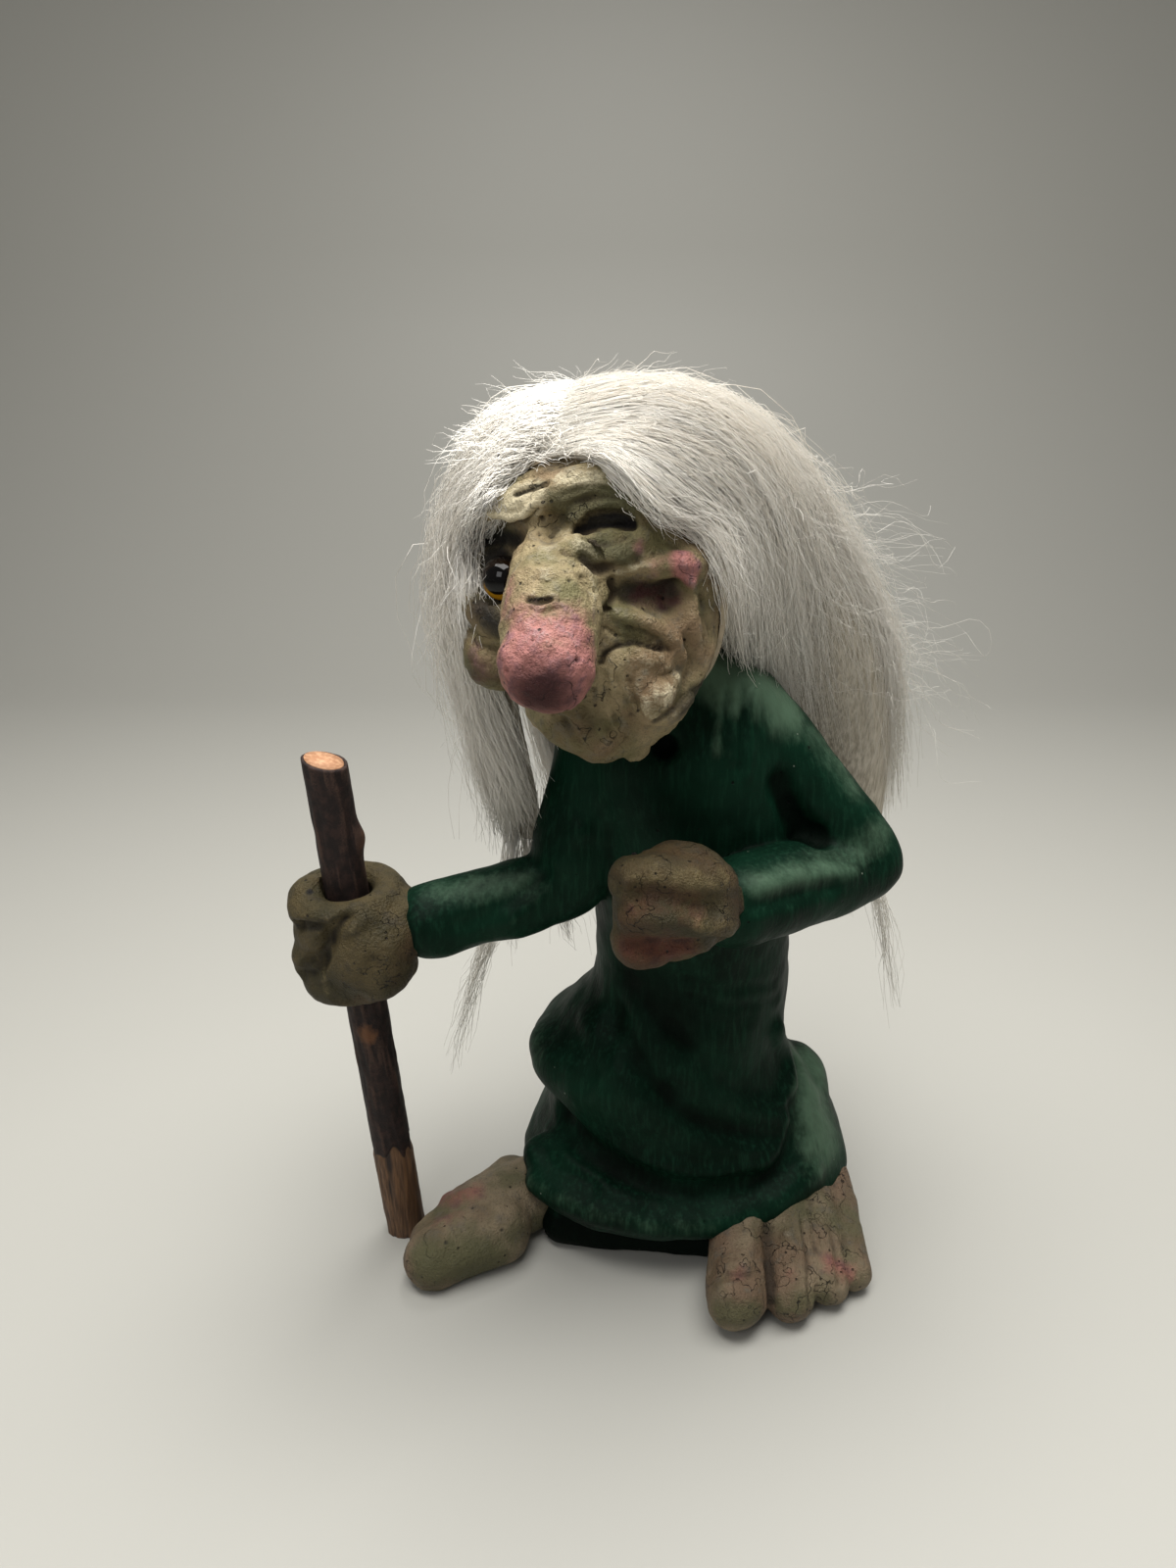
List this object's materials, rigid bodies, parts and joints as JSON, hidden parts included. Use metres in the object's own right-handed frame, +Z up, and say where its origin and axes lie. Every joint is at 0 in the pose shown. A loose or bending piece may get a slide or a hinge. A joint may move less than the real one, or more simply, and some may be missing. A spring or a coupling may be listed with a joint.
{
  "type": "troll figure",
  "caption": "Standing painted troll woman with a long nose, a glass eye, long pale hair and a green dress, leaning on a loose twig held in the fist.",
  "frame": {"origin": "on the floor, in the middle of the bounding box", "axes": "+Z up, -Y towards the side the figure is looked at from, +X to that viewer's right, which is the figure's left"},
  "size_m": [0.1501, 0.1169, 0.208],
  "materials": {
    "dress_paint": "satin brushed paint on a latex casting",
    "skin_paint": "matt washed and dry-brushed paint on a latex casting",
    "foam": "open foam",
    "plug": "moulded, matt",
    "wire": "drawn",
    "dowel": "plain turned",
    "eye_glass": "clear, polished",
    "eye_amber": "enamel, glossy",
    "eye_black": "enamel, glossy",
    "pelt": "undyed hide",
    "hair": "long, dry, off-white hair",
    "twig_wood": "weathered, bare",
    "twig_bark": "dark ridged bark",
    "twig_knot": "dark, rough"
  },
  "bodies": {
    "figure": {"dress_shell": "dress_paint", "left_sleeve": "dress_paint", "right_sleeve": "dress_paint", "body_filling": "foam", "head_filling": "foam", "base_plug": "plug", "left_arm_wire": "wire", "right_arm_wire": "wire", "eye_pin": "wire", "left_hand": "skin_paint", "right_hand": "skin_paint", "left_foot": "skin_paint", "right_foot": "skin_paint", "head_shell": "skin_paint", "left_leg_peg": "dowel", "right_leg_peg": "dowel", "neck_dowel": "dowel", "eye_glass": "eye_glass", "eye_iris": "eye_amber", "eye_pupil": "eye_black", "hair_pelt": "pelt", "hair_crown": "hair", "hair_left_curtain": "hair", "hair_right_curtain": "hair", "hair_back": "hair", "hair_left_wisp": "hair", "hair_right_wisp": "hair"},
    "stick": {"stick_wood": "twig_wood", "stick_bark": "twig_bark", "stick_knots": "twig_knot"}
  },
  "joints": [
    {"name": "stick_slide", "type": "slide", "parent": "figure", "child": "stick", "axis": [-0.0683, -0.0797, 0.9945], "range_m": [0, 0.115]}
  ]
}
